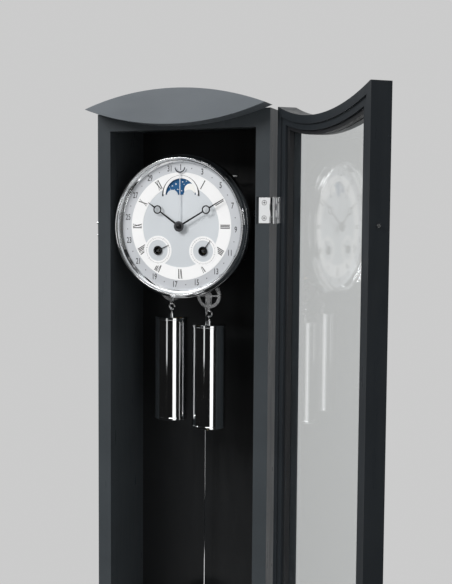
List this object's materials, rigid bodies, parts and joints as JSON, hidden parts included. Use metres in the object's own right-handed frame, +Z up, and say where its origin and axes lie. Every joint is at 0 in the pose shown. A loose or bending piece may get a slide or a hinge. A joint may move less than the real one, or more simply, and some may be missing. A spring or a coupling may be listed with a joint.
{
  "type": "regulator clock",
  "caption": "Wall regulator clock: black case with glazed side-hung door and lens-shaped pediment, calendar and moon dial, cable-hung chromed weights, pendulum.",
  "frame": {"origin": "centre of the hanger hole, in the plane of the wall", "axes": "+X to the clock's right as seen from the room, +Y into the wall, +Z up"},
  "size_m": [0.5292, 0.3826, 1.037],
  "materials": {
    "bead_black": "satin lacquer",
    "brass": "satin",
    "case_wood": "satin black lacquer on wood",
    "chrome": "polished",
    "dial_silver": "fine matt silver",
    "dial_white": "matt white print",
    "glass": "clear",
    "hand_black": "gloss black",
    "moon_blue": "enamel",
    "pediment_wood": "satin grey lacquer on wood",
    "steel": "satin"
  },
  "bodies": {
    "case": {"side_left": "case_wood", "side_right": "case_wood", "end_boards": "case_wood", "back_panel": "case_wood", "face_stile_left": "case_wood", "face_stile_right": "case_wood", "face_rails": "case_wood", "pediment": "pediment_wood", "hanger_plate": "steel", "case_screws": "chrome", "hinge_case_leaves": "chrome", "hinge_pins": "chrome", "movement_posts": "steel", "post_nuts": "steel", "front_plate": "brass", "back_plate": "brass", "plate_pillars": "brass", "dial_plate": "dial_silver", "chapter_ring": "dial_white", "small_dials": "dial_white", "bezel": "chrome", "suspension_cock": "steel", "gong": "steel"},
    "door": {"door_stile_hinge": "case_wood", "door_stile_free": "case_wood", "door_rail_top": "case_wood", "door_rail_bottom": "case_wood", "door_glass": "glass", "glass_beads": "bead_black", "hinge_door_leaves": "chrome", "hinge_door_screws": "chrome", "door_pin": "chrome"},
    "latch": {"latch_hook": "chrome"},
    "minute": {"centre_arbor": "brass", "minute_hand": "hand_black"},
    "hour": {"hour_wheel": "brass", "hour_hand": "hand_black"},
    "minute_wheel": {"minute_wheel": "brass"},
    "third_wheel": {"third_wheel": "brass"},
    "escape_wheel": {"escape_wheel": "brass"},
    "great_wheel": {"great_wheel": "brass"},
    "date": {"date_hand": "chrome"},
    "day": {"day_pointer": "hand_black"},
    "month": {"month_pointer": "hand_black"},
    "moon": {"moon_disc": "moon_blue"},
    "pallets": {"pallet_anchor": "steel"},
    "pendulum": {"pendulum_rod": "chrome", "pendulum_bob": "chrome"},
    "rating_nut": {"rating_nut": "brass"},
    "hammer": {"hammer": "brass"},
    "drum_left": {"drum_left": "brass"},
    "drum_right": {"drum_right": "brass"},
    "weight_left": {"pulley_strap_left": "chrome", "weight_left": "chrome", "cable_left": "steel"},
    "weight_right": {"pulley_strap_right": "chrome", "weight_right": "chrome", "cable_right": "steel"},
    "pulley_left": {"pulley_wheel_left": "chrome"},
    "pulley_right": {"pulley_wheel_right": "chrome"}
  },
  "joints": [
    {"name": "door_hinge", "type": "hinge", "parent": "case", "child": "door", "pos_m": [0.1556, -0.1476, -0.104], "axis": [0, 0, 1], "range_deg": [-129.1, 50.9]},
    {"name": "latch_pivot", "type": "hinge", "parent": "case", "child": "latch", "pos_m": [-0.1514, -0.142, -0.1252], "axis": [-1, 0, 0], "range_deg": [0, 110]},
    {"name": "minute_turn", "type": "hinge", "parent": "case", "child": "minute", "pos_m": [0, -0.15, -0.13], "axis": [0, 1, 0], "continuous": true},
    {"name": "hour_turn", "type": "hinge", "parent": "case", "child": "hour", "pos_m": [0, -0.14, -0.13], "axis": [0, 1, 0], "continuous": true},
    {"name": "minute_wheel_turn", "type": "hinge", "parent": "case", "child": "minute_wheel", "pos_m": [0, -0.13, -0.1492], "axis": [0, 1, 0], "continuous": true},
    {"name": "third_wheel_turn", "type": "hinge", "parent": "case", "child": "third_wheel", "pos_m": [0.01388, -0.1, -0.11345], "axis": [0, 1, 0], "continuous": true},
    {"name": "escape_wheel_turn", "type": "hinge", "parent": "case", "child": "escape_wheel", "pos_m": [0, -0.093, -0.10012], "axis": [0, 1, 0], "continuous": true},
    {"name": "great_wheel_turn", "type": "hinge", "parent": "case", "child": "great_wheel", "pos_m": [-0.0395, -0.116, -0.1695], "axis": [0, 1, 0], "continuous": true},
    {"name": "date_turn", "type": "hinge", "parent": "case", "child": "date", "pos_m": [0, -0.145, -0.13], "axis": [0, 1, 0], "continuous": true},
    {"name": "day_turn", "type": "hinge", "parent": "case", "child": "day", "pos_m": [-0.0395, -0.145, -0.1695], "axis": [0, 1, 0], "continuous": true},
    {"name": "month_turn", "type": "hinge", "parent": "case", "child": "month", "pos_m": [0.0395, -0.145, -0.1695], "axis": [0, 1, 0], "continuous": true},
    {"name": "moon_turn", "type": "hinge", "parent": "case", "child": "moon", "pos_m": [0, -0.146, -0.079], "axis": [0, 1, 0], "continuous": true},
    {"name": "pendulum_swing", "type": "hinge", "parent": "case", "child": "pendulum", "pos_m": [0, -0.033, -0.079], "axis": [0, 1, 0], "range_deg": [-2, 2]},
    {"name": "pallet_swing", "type": "hinge", "parent": "case", "child": "pallets", "pos_m": [0, -0.05, -0.079], "axis": [0, 1, 0], "range_deg": [-2, 2]},
    {"name": "rating_nut_turn", "type": "hinge", "parent": "pendulum", "child": "rating_nut", "pos_m": [0, -0.033, -0.893], "axis": [0, 0, 1], "continuous": true},
    {"name": "hammer_pivot", "type": "hinge", "parent": "case", "child": "hammer", "pos_m": [-0.015, -0.045, -0.0534], "axis": [0, 1, 0], "range_deg": [-20, 5], "stiffness_Nm_per_rad": 0.02, "springref_deg": 4.01},
    {"name": "weight_left_slide", "type": "slide", "parent": "case", "child": "weight_left", "axis": [0, 0, -1], "range_m": [-0.01, 0.44], "deforming": ["cable_left"]},
    {"name": "weight_right_slide", "type": "slide", "parent": "case", "child": "weight_right", "axis": [0, 0, -1], "range_m": [-0.02, 0.43], "deforming": ["cable_right"]},
    {"name": "drum_left_turn", "type": "hinge", "parent": "case", "child": "drum_left", "pos_m": [-0.0395, -0.102, -0.1695], "axis": [0, 1, 0], "range_deg": [-4700, 120]},
    {"name": "drum_right_turn", "type": "hinge", "parent": "case", "child": "drum_right", "pos_m": [0.0395, -0.102, -0.1695], "axis": [0, 1, 0], "range_deg": [-240, 4600]},
    {"name": "pulley_left_turn", "type": "hinge", "parent": "weight_left", "child": "pulley_left", "pos_m": [-0.0337, -0.105, -0.235], "axis": [0, 1, 0], "range_deg": [-1600, 50]},
    {"name": "pulley_right_turn", "type": "hinge", "parent": "weight_right", "child": "pulley_right", "pos_m": [0.0337, -0.105, -0.245], "axis": [0, 1, 0], "range_deg": [-90, 1600]}
  ],
  "couplings": [
    {"joint": "hour_turn", "follows": "minute_turn", "ratio": 0.083333},
    {"joint": "minute_wheel_turn", "follows": "minute_turn", "ratio": -0.33333},
    {"joint": "third_wheel_turn", "follows": "minute_turn", "ratio": -8},
    {"joint": "escape_wheel_turn", "follows": "minute_turn", "ratio": 69},
    {"joint": "great_wheel_turn", "follows": "minute_turn", "ratio": -0.071429},
    {"joint": "pallet_swing", "follows": "pendulum_swing", "ratio": 1},
    {"joint": "drum_left_turn", "follows": "weight_left_slide", "rad_per_m": -168.07},
    {"joint": "drum_right_turn", "follows": "weight_right_slide", "rad_per_m": 168.07},
    {"joint": "pulley_left_turn", "follows": "weight_left_slide", "rad_per_m": -56.497},
    {"joint": "pulley_right_turn", "follows": "weight_right_slide", "rad_per_m": 56.497}
  ]
}
